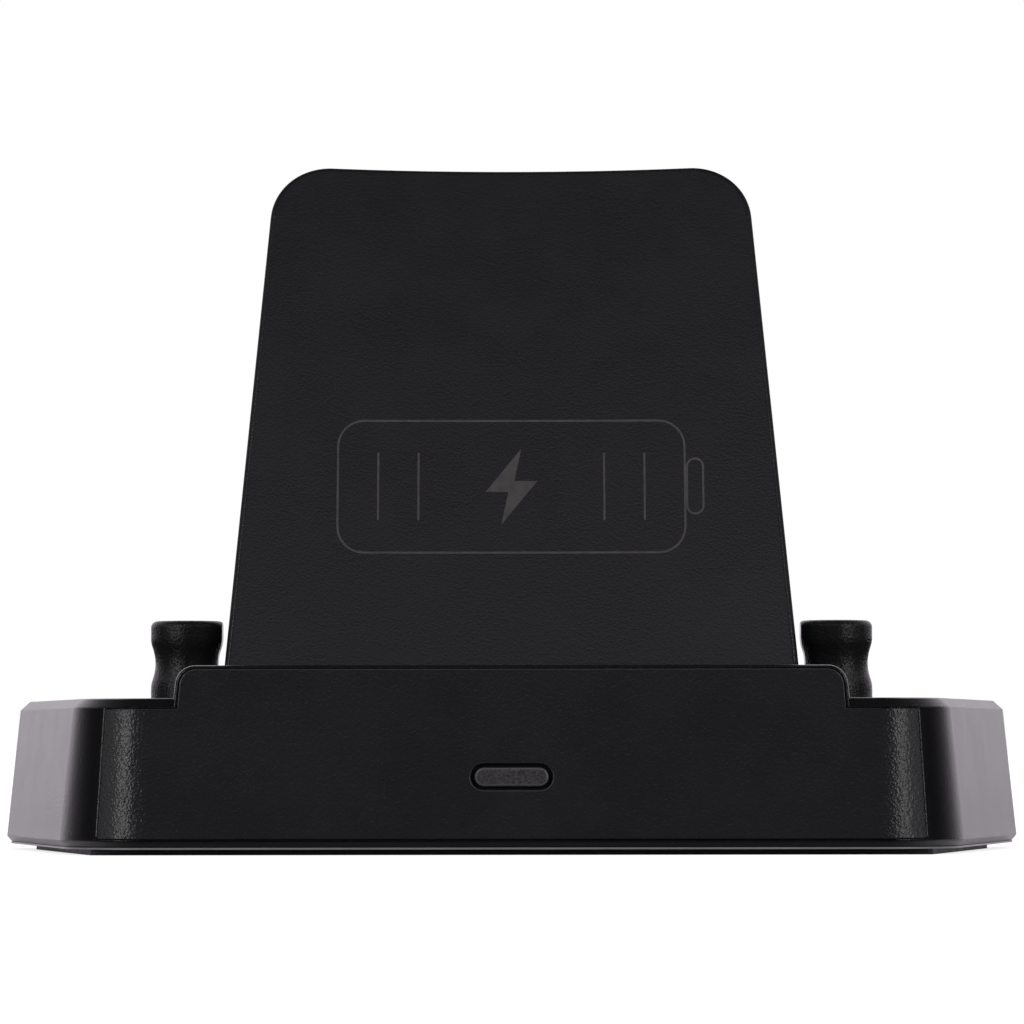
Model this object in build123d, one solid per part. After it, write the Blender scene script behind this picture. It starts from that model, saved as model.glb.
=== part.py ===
from build123d import *
import os
from math import atan2, cos, radians, sin, tan

# Handheld console dock, millimetres, front towards -Y, standing on z = 0

# Base body, in plan at the foot of its drafted wall
base_width = 168.0
base_depth = 76.0
side_flare = 13.2
front_corner_radius = 14.6
rear_corner_radius = 8.0
draft_angle = 6.0
wall = 2.4

# Heights of the base
mat_thickness = 0.9
cover_edge = 0.3
foot_chamfer = 0.95
deck_height = 24.4
deck_chamfer = 1.45
edge_softening = 0.3

# Lip in front of the cradle
lip_rise = 5.1
lip_width = 105.1
lip_thickness = 3.1
lip_corner_radius = 3.1
lip_edge_radius = 0.42

# Fascia set into the front
fascia_thickness = 1.6
fascia_rim = 0.5
fascia_foot_rim = 0.22
fascia_wrap = 32.3
fascia_corner_radius = 0.5
fascia_edge_radius = 0.2
seat_bevel = 0.2
seat_bevel_turn = 15.0

# Indicator in the fascia
lens_width = 11.5
lens_height = 2.9
lens_level = 12.15
lens_edge_radius = 0.35
groove_width = 0.7
groove_depth = 1.2
groove_edge_radius = 0.2
lens_flange = 1.2
lens_flange_thickness = 0.8
light_pipe_width = 8.0
light_pipe_depth = 2.4

# Bottom cover and mat
cover_thickness = 2.0
cover_inset = 0.7
mat_inset = 3.6
mat_rear_inset = 15.4
mat_front_radius = 1.0
mat_rear_radius = 1.5

# Back rest
rest_lean = 18.0
rest_foot = 25.5
rest_length = 91.85
rest_foot_width = 92.15
rest_top_width = 77.35
rest_hollow_radius = 290.0
rest_corner_radius = 10.0
rest_edge_radius = 0.8
rest_thickness = 6.0
rest_skin = 2.0
rest_rim = 1.4
rest_ledge = 1.2
rest_cover_thickness = 1.6
rest_floor = 5.0
tongue_width = 60.0
tongue_length = 10.0
tongue_thickness = 3.8
tongue_setback = 0.3
rest_screw_spacing = 40.0
rest_screw_depth = 6.0

# Cradle trough
trough_width = 100.0
trough_setback = 3.8
trough_depth = 9.0
pan_wall = 2.0
pan_floor = 2.4
pad_length = 28.0
pad_width = 9.0
pad_thickness = 1.5
pad_pocket = 0.7
pad_centre = 30.0

# Posts beside the back rest
post_spacing = 103.8
post_place = 31.8
post_height = 12.6
post_diameter = 11.95
post_waist = 10.5
post_flat = 0.4
post_shoulder_radius = 5.0
post_band = 1.6
post_head = 2.6
post_rim_radius = 1.1
post_spigot_diameter = 6.0

# Charging plug in the trough
plug_width = 8.25
plug_thickness = 2.4
plug_wall = 0.25
plug_length = 6.65
plug_setback = 10.8
plug_slot_width = 6.8
plug_slot_height = 1.0
plug_slot_depth = 5.4
collar_width = 11.4
collar_thickness = 5.4
collar_rise = 0.8
carrier_length = 26.0
carrier_width = 9.2
carrier_thickness = 1.6
carrier_screw_spacing = 20.0
plug_board_length = 14.6
plug_board_width = 8.0
plug_board_thickness = 1.0

# Main board and what stands on it
board_width = 52.0
board_level = 6.0
board_thickness = 1.6
board_corner_radius = 2.0
board_gap = 0.7
board_screw_width = 44.0
board_screw_front = 14.0
board_screw_rear = 10.0
socket_width = 8.94
socket_height = 3.26
socket_wall = 0.3
socket_length = 7.3
socket_recess = 0.4
socket_dish_width = 13.0
socket_dish_height = 7.2
socket_dish_depth = 0.8
tongue_plate_width = 6.69
tongue_plate_thickness = 0.7
tongue_plate_length = 4.5
socket_block = 2.0
led_width = 3.2
led_depth = 1.6
led_height = 0.8
led_cap_width = 2.1
led_cap_taper = 12.0
chip_width = 5.0
chip_length = 6.0
chip_height = 1.5
chip_place = (-13.0, 8.0)
chip_lead_count = 4
chip_lead_pitch = 1.27
chip_lead_width = 0.4
chip_lead_reach = 1.0
chip_lead_thickness = 0.2
inductor_width = 6.0
inductor_height = 3.0
inductor_corner_radius = 1.0
inductor_drum_diameter = 4.4
inductor_groove_width = 0.3
inductor_groove_depth = 0.5
inductor_place = (13.0, 8.0)
capacitor_diameter = 5.0
capacitor_height = 5.4
capacitor_crimp_level = 1.2
capacitor_crimp_depth = 0.3
capacitor_place = (0.0, 17.0)
capacitor_spacing = 12.0

# Wiring from the board to the plug
header_width = 10.4
header_depth = 7.0
header_height = 4.0
header_wall = 0.9
header_front = 26.0
harness_plug_length = 6.4
wire_diameter = 1.1
wire_pitch = 2.0
wire_count = 4
wire_bend = 1.6

# Screws
screw_diameter = 2.2
screw_head_diameter = 4.2
screw_head_height = 1.4
screw_head_bevel = 0.5
screw_point = 0.8
boss_diameter = 6.2
cover_screw_length = 8.0
cover_screw_inset = 12.0
cover_screw_rows = (-24.0, -2.0, 16.0)
cover_pad_height = 2.0
post_screw_length = 7.5
board_screw_length = 6.0
carrier_screw_grip = 1.7
rest_screw_grip = 2.8

# Clearances
seam = 0.08
seat_gap = 0.05
slide_gap = 0.12
screw_gap = 0.05
thread_room = 0.5

# Worked-out levels and slopes
draft = tan(radians(draft_angle))
flare = tan(radians(side_flare))
flare_cosine = cos(radians(side_flare))
lean_sine = sin(radians(rest_lean))
lean_cosine = cos(radians(rest_lean))
cover_top = mat_thickness + cover_thickness
housing_bottom = mat_thickness + cover_edge
foot_level = housing_bottom + foot_chamfer
roof_level = deck_height - wall
lip_top = deck_height + lip_rise
front_y = -base_depth / 2
rear_y = base_depth / 2
rear_sharp = base_width / 2 + rear_corner_radius * (flare + 1 / flare_cosine - 1)
front_sharp = rear_sharp - base_depth * flare
corner_centre = front_sharp + front_corner_radius * (flare - 1 / flare_cosine)
lip_rear = front_y + (lip_top - foot_level) * draft + lip_thickness
fascia_low = foot_level + fascia_foot_rim
fascia_high = deck_height - deck_chamfer - seam
board_top = board_level + board_thickness
pilot_diameter = screw_diameter + 2 * screw_gap
floor_depth = -trough_depth
pan_under = floor_depth - pan_floor
carrier_under = pan_under - carrier_thickness
plug_board_under = carrier_under - plug_board_thickness
plug_tip = floor_depth + collar_rise + plug_length
rest_frame = Plane(
    origin=(0, front_y + rest_foot, deck_height),
    x_dir=(1, 0, 0),
    z_dir=(0, -lean_cosine, lean_sine),
)


def plan(grow, front_radius=front_corner_radius, rear_radius=rear_corner_radius, rear_trim=0.0):
    """Outline of the base in plan, grown all round by a distance."""
    front = front_y - grow
    rear = rear_y + grow - rear_trim
    side = grow / flare_cosine
    front_half = front_sharp + side - grow * flare
    rear_half = front_half + (rear - front) * flare
    corners = [(-front_half, front), (front_half, front), (rear_half, rear), (-rear_half, rear)]
    face = make_face(Polyline(*corners, close=True).edges())
    face = fillet(face.vertices().group_by(Axis.Y)[0], front_radius)
    return fillet(face.vertices().group_by(Axis.Y)[-1], rear_radius)


def grown_plan(grow):
    """Outline of the base with its corner radii grown as well."""
    return plan(grow, front_corner_radius + grow, rear_corner_radius + grow)


def drafted(grow, low, high):
    """Drafted body between two levels, grown from the outer wall by a distance."""
    foot = grown_plan(grow - (low - foot_level) * draft)
    return extrude(Plane.XY.offset(low) * foot, amount=high - low, taper=draft_angle)


def front_face_y(level):
    """Place of the leaning front wall at a level."""
    return front_y + (level - foot_level) * draft


def rest_box(width, back, front, low, high, centre=0.0):
    """Block in the back rest's own frame: across, towards the front, up the slope."""
    block = Box(width, high - low, front - back)
    middle = Location((centre, (low + high) / 2, (back + front) / 2))
    return rest_frame.location * middle * block


def rest_plane(across, slope, forward):
    """Plane square to the slope, facing up it, at a place in the back rest's frame."""
    centre = rest_frame.from_local_coords(Vector(across, slope, forward))
    return Plane(origin=centre, x_dir=(1, 0, 0), z_dir=(0, lean_sine, lean_cosine))


def pill(width, height):
    """Slot outline with round ends."""
    return SlotOverall(width, height)


def screw(length):
    """Pan-head screw, its head under z = 0 and its point up."""
    head = screw_head_diameter / 2
    shank = screw_diameter / 2
    profile = make_face(Polyline(
        (0, -screw_head_height),
        (head - screw_head_bevel, -screw_head_height),
        (head, screw_head_bevel - screw_head_height),
        (head, 0),
        (shank, 0),
        (shank, length - screw_point),
        (shank / 3, length),
        (0, length),
        close=True,
    ).edges())
    return revolve(Plane.XZ * profile, Axis.Z)


def upright(x, y, low, high, diameter):
    """Upright round bar between two levels."""
    bar = Cylinder(diameter / 2, high - low, align=(Align.CENTER, Align.CENTER, Align.MIN))
    return Pos(x, y, low) * bar


def side_pair(x, y):
    """A place and its mirror image across the middle."""
    return [(-x, y), (x, y)]


def cover_screw_places():
    """Screw places down both sides, a set distance in from the flared wall."""
    places = []
    for y in cover_screw_rows:
        places += side_pair(front_sharp + (y - front_y) * flare - cover_screw_inset, y)
    return places


def board_screw_places():
    """Screw places near the corners of the main board."""
    half = board_screw_width / 2
    return side_pair(half, front_y + board_screw_front) + side_pair(half, rear_y - board_screw_rear)


def post_places():
    """Places of the two posts on the deck."""
    return side_pair(post_spacing / 2, front_y + post_place)


def lip_half(level):
    """Half width of the lip at a level, drawn in as it rises."""
    return lip_width / 2 - (level - deck_height) * draft


def face_plane():
    """Plane of the leaning front wall at the indicator."""
    slope = radians(draft_angle)
    origin = (0, front_face_y(lens_level), lens_level)
    return Plane(origin=origin, x_dir=(1, 0, 0), z_dir=(0, -cos(slope), sin(slope)))


def lip_block():
    """Lip that carries the front wall up above the deck."""
    low = deck_height - wall - deck_chamfer
    outline = make_face(Polyline(
        (-lip_half(deck_height), low),
        (lip_half(deck_height), low),
        (lip_half(deck_height), deck_height),
        (lip_half(lip_top), lip_top),
        (-lip_half(lip_top), lip_top),
        (-lip_half(deck_height), deck_height),
        close=True,
    ).edges())
    outline = fillet(outline.vertices().group_by(Axis.Y)[-1], lip_corner_radius)
    side = make_face(Polyline(
        (front_face_y(low), low),
        (lip_rear, low),
        (lip_rear, lip_top),
        (front_face_y(lip_top), lip_top),
        close=True,
    ).edges())
    slab = extrude(Plane.YZ * side, amount=lip_width, both=True)
    block = slab & extrude(Plane.XZ * outline, amount=base_depth)
    above = [edge for edge in block.edges() if edge.center().Z > deck_height]
    front = [edge for edge in above if edge.center().Y < front_face_y(lip_top) + edge_softening]
    return fillet(front, lip_edge_radius)


def fascia_end(level):
    """Place on the front corner where the fascia's seat ends at a level."""
    radius = front_corner_radius - (level - foot_level) * draft
    wrap = radians(fascia_wrap)
    x = corner_centre + radius * sin(wrap)
    return Vector(x, front_y + front_corner_radius - radius * cos(wrap), level)


def seat_bevel_cut(side):
    """Sliver that breaks the housing's edge at one end of the fascia's seat."""
    start = fascia_end(fascia_low + fascia_corner_radius)
    path = fascia_end(fascia_high) - start
    wrap = radians(fascia_wrap)
    outer = Vector(seat_bevel * cos(wrap), seat_bevel * sin(wrap))
    inner = outer.Y - outer.X * tan(radians(seat_bevel_turn))
    corners = [(0, -seat_bevel), (outer.X, outer.Y), (0, inner)]
    face = make_face(Polyline(*[(side * x, y) for x, y in corners], close=True).edges())
    face = Pos(side * start.X, start.Y, start.Z) * face
    return extrude(face, amount=path.length, dir=(side * path.X, path.Y, path.Z))


def fascia_window(shrink):
    """Front view of the fascia, drawn in all round by a distance."""
    low = fascia_low + shrink
    high = fascia_high - shrink
    top = lip_top - fascia_rim - shrink
    inner = lip_half(deck_height) - fascia_rim - shrink
    upper = lip_half(top) - fascia_rim - shrink
    ends = [(fascia_end(level).X - shrink, level) for level in (low, high)]
    half = ends + [(inner, high), (upper, top)]
    mirrored = [(-x, z) for x, z in reversed(half)]
    face = make_face(Polyline(*half, *mirrored, close=True).edges())
    face = fillet(face.vertices().group_by(Axis.Y)[0], fascia_corner_radius)
    return fillet(face.vertices().group_by(Axis.Y)[-1], lip_corner_radius - fascia_rim)


def fascia_blank(shrink, outside, inside):
    """Layer of the front wall that lies within the fascia's front view."""
    layer = drafted(outside, foot_level, lip_top) - drafted(inside, foot_level, lip_top)
    return layer & extrude(Plane.XZ * fascia_window(shrink), amount=base_depth)


def front_fascia():
    """Grained front panel with the groove and slot for the indicator."""
    body = fascia_blank(seam, 0, -fascia_thickness)
    middle = drafted(-fascia_thickness / 2, housing_bottom, lip_top + wall).solid()
    rims = [edge for edge in body.edges() if not middle.is_inside(edge.center())]
    rims = [edge for edge in rims if abs(abs(edge.center().X) - corner_centre) > seam]
    body = fillet(rims, fascia_edge_radius)
    plane = face_plane()
    rim = 2 * groove_width
    body -= extrude(plane * pill(lens_width + rim, lens_height + rim), -groove_depth)
    body = fillet(groove_edges(body, plane), groove_edge_radius)
    slot = pill(lens_width + 2 * seam, lens_height + 2 * seam)
    return body - extrude(plane * slot, -2 * fascia_thickness)


def groove_edges(body, plane):
    """Outer edges of the groove, where it breaks the front of the fascia."""
    reach = Vector(lens_width / 2 + 2 * groove_width, lens_height / 2 + 2 * groove_width, seam)
    found = []
    for edge in body.edges():
        spot = plane.to_local_coords(edge.center())
        if abs(spot.X) < reach.X and abs(spot.Y) < reach.Y and abs(spot.Z) < reach.Z:
            found.append(edge)
    return found


def indicator_lens():
    """Smoky light guide: pill in the groove, flange behind the wall, leg down to the lamp."""
    plane = face_plane()
    inner = -wall - seat_gap
    body = extrude(plane * pill(lens_width, lens_height), inner)
    body = fillet(body.edges().group_by(Axis.Y)[0], lens_edge_radius)
    flange = pill(lens_width + 2 * lens_flange, lens_height + 2 * lens_flange)
    body += extrude(plane.offset(inner) * flange, -lens_flange_thickness)
    half = lens_height / 2
    start = front_face_y(lens_level) + wall
    back = start + lens_flange_thickness + light_pipe_depth
    low = board_top + led_height + 2 * slide_gap
    leg = make_face(Polyline(
        (start + lens_flange_thickness / 2, lens_level - half),
        (back - light_pipe_depth, lens_level - half),
        (back - light_pipe_depth, low),
        (back, low),
        (back, lens_level),
        (back - half, lens_level + half),
        (start + lens_flange_thickness / 2, lens_level + half),
        close=True,
    ).edges())
    return body + extrude(Plane.YZ * leg, amount=light_pipe_width / 2, both=True)


def level_edges(body):
    """Edges round the deck and round the top and foot of the drafted wall."""
    found = []
    for level in (deck_height, deck_height - deck_chamfer, foot_level):
        for edge in body.edges():
            box = edge.bounding_box()
            if abs(box.min.Z - level) + abs(box.max.Z - level) < seam:
                found.append(edge)
    return found


def outer_body():
    """Drafted outer form of the base with its chamfered foot and deck."""
    body = drafted(0, housing_bottom, deck_height)
    foot = body.faces().sort_by(Axis.Z)[0]
    body = chamfer(foot.edges(), foot_chamfer)
    deck = body.faces().sort_by(Axis.Z)[-1]
    body = chamfer(deck.edges(), deck_chamfer)
    return fillet(level_edges(body), edge_softening)


def rest_bosses():
    """Pads behind the trough that the back rest's tongue is drawn against."""
    back = -tongue_setback
    front = trough_setback - pan_wall / 2
    low = -tongue_length
    high = -tongue_length + 2 * (tongue_length - rest_screw_depth)
    half = rest_screw_spacing / 2
    pads = [rest_box(boss_diameter, back, front, low, high, x) for x in (-half, half)]
    return pads[0] + pads[1]


def trough():
    """Space the console's lower edge drops into, square to the back rest."""
    reach = base_depth
    space = rest_box(trough_width, trough_setback, reach, floor_depth, reach)
    limit = Pos(0, lip_rear, 0) * Box(
        base_width, base_depth, 4 * deck_height, align=(Align.CENTER, Align.MIN, Align.CENTER)
    )
    return space & limit


def pad_place(side):
    """Plane on the trough floor under one cradle pad."""
    return rest_plane(side * pad_centre, floor_depth - pad_pocket, plug_setback)


def housing_holes():
    """Every hole through the housing apart from the trough and the fascia's seat."""
    slot = pill(lens_width + 2 * seam, lens_height + 2 * seam)
    holes = [extrude(face_plane() * slot, -2 * wall)]
    plug = pill(collar_width + 2 * slide_gap, collar_thickness + 2 * slide_gap)
    holes.append(extrude(rest_plane(0, pan_under - pan_wall, plug_setback) * plug, 2 * pan_floor + pan_wall))
    holes.append(rest_box(
        tongue_width + 2 * slide_gap,
        -tongue_setback - tongue_thickness - slide_gap,
        -tongue_setback + seat_gap,
        -2 * tongue_length,
        tongue_length,
    ))
    for side in (-1, 1):
        pocket = Rectangle(pad_length + 2 * slide_gap, pad_width + 2 * slide_gap)
        holes.append(extrude(pad_place(side) * pocket, 2 * pad_pocket))
        across = side * rest_screw_spacing / 2
        pilot = Cylinder(pilot_diameter / 2, 2 * (rest_screw_grip + thread_room))
        spot = Location((across, -rest_screw_depth, -tongue_setback))
        holes.append(rest_frame.location * spot * pilot)
        across = side * carrier_screw_spacing / 2
        pilot = Circle(pilot_diameter / 2)
        start = rest_plane(across, pan_under, plug_setback)
        holes.append(extrude(start * pilot, carrier_screw_grip + thread_room / 2))
    for x, y in post_places():
        holes.append(upright(x, y, roof_level, lip_top, post_spigot_diameter + 2 * seam))
    for x, y in cover_screw_places():
        tip = cover_top + cover_screw_length + thread_room
        holes.append(upright(x, y, housing_bottom, tip, pilot_diameter))
    for x, y in board_screw_places():
        tip = board_level + board_screw_length + thread_room
        holes.append(upright(x, y, housing_bottom, tip, pilot_diameter))
    back = Plane.XZ.offset(-rear_y - wall)
    middle = board_top + socket_height / 2
    mouth = pill(socket_width + 2 * slide_gap, socket_height + 2 * slide_gap)
    holes.append(extrude(back * (Pos(0, middle) * mouth), 3 * wall))
    dish = pill(socket_dish_width, socket_dish_height)
    dish_floor = Plane.XZ.offset(-rear_y + socket_dish_depth + (middle - foot_level) * draft)
    holes.append(extrude(dish_floor * (Pos(0, middle) * dish), -wall))
    return holes


def base_housing():
    """Moulded shell of the base: walls, deck, lip, cradle trough and bosses."""
    body = outer_body() + lip_block()
    body -= drafted(-wall, housing_bottom, roof_level)
    pan = rest_box(
        trough_width + 2 * pan_wall,
        trough_setback - pan_wall,
        base_depth,
        pan_under,
        base_depth,
    )
    body += pan & drafted(-wall / 2, housing_bottom, deck_height)
    bosses = [rest_bosses() & drafted(-wall / 2, housing_bottom, deck_height - wall / 2)]
    for x, y in cover_screw_places():
        bosses.append(upright(x, y, cover_top + cover_pad_height, roof_level + wall / 2, boss_diameter))
    for x, y in board_screw_places():
        bosses.append(upright(x, y, board_top, roof_level + wall / 2, boss_diameter))
    body = body + bosses
    body -= trough()
    body -= fascia_blank(0, wall, -fascia_thickness - seat_gap)
    body = body - [seat_bevel_cut(-1), seat_bevel_cut(1)]
    return body - housing_holes()


def bottom_cover():
    """Pan that closes the base: a thin rim under the wall and a step that locates in it."""
    rim = Plane.XY.offset(mat_thickness) * grown_plan(-cover_inset)
    body = extrude(rim, amount=cover_edge)
    body = fillet(body.edges().group_by(Axis.Z)[-1], cover_edge / 3)
    step = grown_plan(-wall - (cover_top - foot_level) * draft - slide_gap)
    body += extrude(Plane.XY.offset(mat_thickness) * step, amount=cover_thickness)
    pads = []
    cuts = []
    for x, y in cover_screw_places():
        low = cover_top - cover_thickness / 2
        pads.append(upright(x, y, low, cover_top + cover_pad_height, boss_diameter))
        cuts.append(upright(x, y, 0, cover_top, screw_head_diameter + 2 * slide_gap))
        cuts.append(upright(x, y, 0, deck_height, pilot_diameter))
    return body + pads - cuts


def anti_slip_mat():
    """Rubber mat under the cover, parallel to the front and the flared sides."""
    trim = mat_rear_inset - mat_inset
    outline = plan(-mat_inset, mat_front_radius, mat_rear_radius, trim)
    return extrude(outline, amount=mat_thickness)


def rest_outline(shrink, low):
    """Front view of the back rest in its own frame, from a height up to its top edge."""
    slope = (rest_foot_width - rest_top_width) / 2 / rest_length
    low_half = rest_foot_width / 2 - slope * low - shrink
    top = rest_length - shrink
    top_half = rest_foot_width / 2 - slope * top - shrink
    corners = [(-low_half, low), (low_half, low), (top_half, top), (-top_half, top)]
    face = make_face(Polyline(*corners, close=True).edges())
    return fillet(face.vertices().group_by(Axis.Y)[-1], rest_corner_radius - shrink)


def rest_layer(shrink, low, near, far):
    """Hollow sheet between two depths behind the front surface, cut to the outline."""
    height = 4 * rest_length
    axis = rest_frame.location * Location((0, 0, rest_hollow_radius), (90, 0, 0))
    sheet = Cylinder(rest_hollow_radius + far, height) - Cylinder(rest_hollow_radius + near, height)
    depth = rest_frame.offset(-2 * rest_thickness)
    return (axis * sheet) & extrude(depth * rest_outline(shrink, low), amount=6 * rest_thickness)


def rest_screw_places():
    """Places behind the tongue, facing forwards, of its two screws."""
    half = rest_screw_spacing / 2
    depth = -tongue_setback - tongue_thickness
    return [rest_frame.location * Location((x, -rest_screw_depth, depth)) for x in (-half, half)]


def back_rest():
    """Tapered, hollow-faced front shell of the back rest, with a tongue through the deck."""
    below = -2 * rest_thickness
    body = rest_layer(0, below, 0, rest_thickness)
    body = split(body, Plane.XY.offset(deck_height), keep=Keep.TOP)
    round_faces = body.faces().filter_by(GeomType.CYLINDER)
    front = [face for face in round_faces if abs(face.radius - rest_hollow_radius) < seam][0]
    rims = [edge for edge in front.edges() if edge.center().Z > deck_height + seam]
    body = fillet(rims, rest_edge_radius)
    lid_depth = rest_thickness - rest_cover_thickness
    body -= rest_layer(rest_rim, rest_floor - rest_ledge, lid_depth, 2 * rest_thickness)
    body -= rest_layer(rest_rim + rest_ledge, rest_floor, rest_skin, 2 * rest_thickness)
    back = -tongue_setback - tongue_thickness
    body += rest_box(tongue_width, back, -tongue_setback, -tongue_length, rest_floor / 2)
    for place in rest_screw_places():
        body -= place * Cylinder(pilot_diameter / 2, 4 * tongue_thickness)
    return body


def back_rest_cover():
    """Curved rear skin that drops into the back rest's rim."""
    shrink = rest_rim + slide_gap
    near = rest_thickness - rest_cover_thickness + seat_gap
    low = rest_floor - rest_ledge + slide_gap
    return rest_layer(shrink, low, near, rest_thickness)


def post_view(trim, far):
    """View of a post from a far line out to its waisted edge, which is drawn in by a trim."""
    full = post_diameter / 2 - trim
    head = post_height - post_head
    turn = 2 * atan2(post_diameter - post_waist, head - post_band)
    neck = full - post_shoulder_radius * (1 - cos(turn))
    reach = post_shoulder_radius * sin(turn)
    shoulder = TangentArc((full, post_band), (neck, post_band + reach), tangent=(0, 1))
    waist = TangentArc(shoulder @ 1, (neck, head - reach), tangent=shoulder % 1)
    crown = TangentArc(waist @ 1, (full, head), tangent=waist % 1)
    bounds = Polyline(crown @ 1, (full, post_height), (far, post_height), (far, 0), (full, 0), shoulder @ 0)
    return make_face([shoulder, waist, crown, bounds])


def post(side):
    """Waisted post, flattened towards the back rest, with a spigot into the deck and a screw hole."""
    x = side * post_spacing / 2
    y = front_y + post_place
    section = post_view(0, 0)
    section = fillet(section.vertices().group_by(Axis.Y)[-1].sort_by(Axis.X)[-1], post_rim_radius)
    body = revolve(Plane.XZ * section, Axis.Z)
    inner = Plane.XZ * post_view(post_flat, -post_diameter)
    body &= extrude(inner, amount=post_diameter, both=True)
    body = Pos(x, y, deck_height) * Rot(0, 0, 90 * (1 + side)) * body
    body += upright(x, y, roof_level, deck_height + post_band, post_spigot_diameter)
    return body - upright(x, y, roof_level, roof_level + post_screw_length + thread_room, pilot_diameter)


def cradle_pad(side):
    """Soft strip in its pocket on the trough floor, its upper edges rounded."""
    strip = extrude(pad_place(side) * Rectangle(pad_length, pad_width), pad_thickness)
    corners = strip.edges().filter_by(Axis((0, 0, 0), (0, lean_sine, lean_cosine)))
    return fillet(corners, pad_width / 4)


def plug_section(width, thickness, low, high):
    """Round-ended bar up the plug's own axis."""
    return extrude(rest_plane(0, low, plug_setback) * pill(width, thickness), high - low)


def plug_carrier():
    """Moulded holder: flange under the trough floor and collar through it."""
    flange = rest_plane(0, carrier_under, plug_setback) * RectangleRounded(
        carrier_length, carrier_width, carrier_thickness
    )
    body = extrude(flange, carrier_thickness)
    top = floor_depth + collar_rise
    body += plug_section(collar_width, collar_thickness, carrier_under, top)
    bore = 2 * seat_gap
    body -= plug_section(plug_width + bore, plug_thickness + bore, carrier_under, top)
    for side in (-1, 1):
        start = rest_plane(side * carrier_screw_spacing / 2, carrier_under, plug_setback)
        body -= extrude(start * Circle(pilot_diameter / 2), 2 * carrier_thickness)
    return body


def plug_shell():
    """Drawn metal shell of the plug."""
    body = plug_section(plug_width, plug_thickness, carrier_under, plug_tip)
    inner = 2 * plug_wall
    return body - plug_section(plug_width - inner, plug_thickness - inner, carrier_under, plug_tip)


def plug_core():
    """Moulded core of the plug with the slot that the console's tongue enters."""
    inner = 2 * (plug_wall + seat_gap)
    top = plug_tip - plug_wall
    body = plug_section(plug_width - inner, plug_thickness - inner, carrier_under, top)
    return body - plug_section(plug_slot_width, plug_slot_height, plug_tip - plug_slot_depth, plug_tip)


def plug_board():
    """Small board that the plug is soldered to, under its carrier."""
    face = rest_plane(0, plug_board_under, plug_setback) * Rectangle(plug_board_length, plug_board_width)
    return extrude(face, plug_board_thickness)


def main_board():
    """Circuit board, from behind the front wall to the rear wall."""
    rear = rear_y - (board_top - foot_level) * draft - wall - board_gap
    front = front_face_y(board_top) + wall + board_gap
    outline = RectangleRounded(board_width, rear - front, board_corner_radius)
    body = extrude(Pos(0, (front + rear) / 2, board_level) * outline, board_thickness)
    for x, y in board_screw_places():
        body -= upright(x, y, 0, deck_height, pilot_diameter)
    return body


def socket_mouth():
    """Plane of the power inlet's mouth, facing out of the rear wall."""
    middle = board_top + socket_height / 2
    mouth = rear_y - (middle - foot_level) * draft - socket_dish_depth - socket_recess
    return Plane(origin=(0, mouth, middle), x_dir=(-1, 0, 0), z_dir=(0, 1, 0))


def power_socket_shell():
    """Metal sleeve of the power inlet."""
    inner = 2 * socket_wall
    sleeve = pill(socket_width, socket_height) - pill(socket_width - inner, socket_height - inner)
    return extrude(socket_mouth() * sleeve, -socket_length)


def power_socket_tongue():
    """Block that closes the sleeve's inner end, with the contact tongue."""
    inner = 2 * (socket_wall + seat_gap)
    plane = socket_mouth().offset(-socket_length)
    body = extrude(plane * pill(socket_width - inner, socket_height - inner), socket_block)
    tongue = Rectangle(tongue_plate_width, tongue_plate_thickness)
    return body + extrude(plane * tongue, socket_block + tongue_plate_length)


def indicator_led():
    """Lamp on the board under the light guide's leg."""
    y = front_face_y(lens_level) + wall + lens_flange_thickness + light_pipe_depth / 2
    base = Pos(0, y, board_top) * Rectangle(led_width, led_depth)
    body = extrude(base, led_height / 2)
    cap = Pos(0, y, board_top + led_height / 2) * Rectangle(led_cap_width, led_depth)
    return body + extrude(cap, led_height / 2, taper=led_cap_taper)


def controller_chip():
    """Moulded chip with a row of bent leads down each side."""
    x, y = chip_place
    lift = chip_lead_thickness / 2
    floor = Pos(x, y, board_top + lift)
    body = floor * Box(chip_width, chip_length, chip_height, align=(Align.CENTER, Align.CENTER, Align.MIN))
    body = chamfer(body.edges().group_by(Axis.Z)[-1], chip_lead_thickness)
    thick = chip_lead_thickness
    knee = chip_lead_reach / 2
    rise = chip_height / 2
    lead = make_face(Polyline(
        (0, rise), (knee, rise), (knee, thick), (chip_lead_reach, thick),
        (chip_lead_reach, 0), (knee - thick, 0), (knee - thick, rise - thick), (0, rise - thick),
        close=True,
    ).edges())
    pieces = [body]
    for number in range(chip_lead_count):
        row = (number - (chip_lead_count - 1) / 2) * chip_lead_pitch
        place = Pos(x, y + row, board_top)
        blade = extrude(Plane.XZ * lead, amount=chip_lead_width / 2, both=True)
        pieces.append(place * Pos(chip_width / 2, 0, 0) * blade)
        pieces.append(place * Rot(0, 0, 180) * Pos(chip_width / 2, 0, 0) * blade)
    return Compound(children=pieces)


def power_inductor():
    """Shielded coil: rounded square body with a round drum in its top."""
    x, y = inductor_place
    shell = RectangleRounded(inductor_width, inductor_width, inductor_corner_radius)
    body = extrude(Pos(x, y, board_top) * shell, inductor_height)
    drum = inductor_drum_diameter / 2
    ring = Circle(drum + inductor_groove_width) - Circle(drum)
    return body - extrude(Pos(x, y, board_top + inductor_height) * ring, -inductor_groove_depth)


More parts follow.
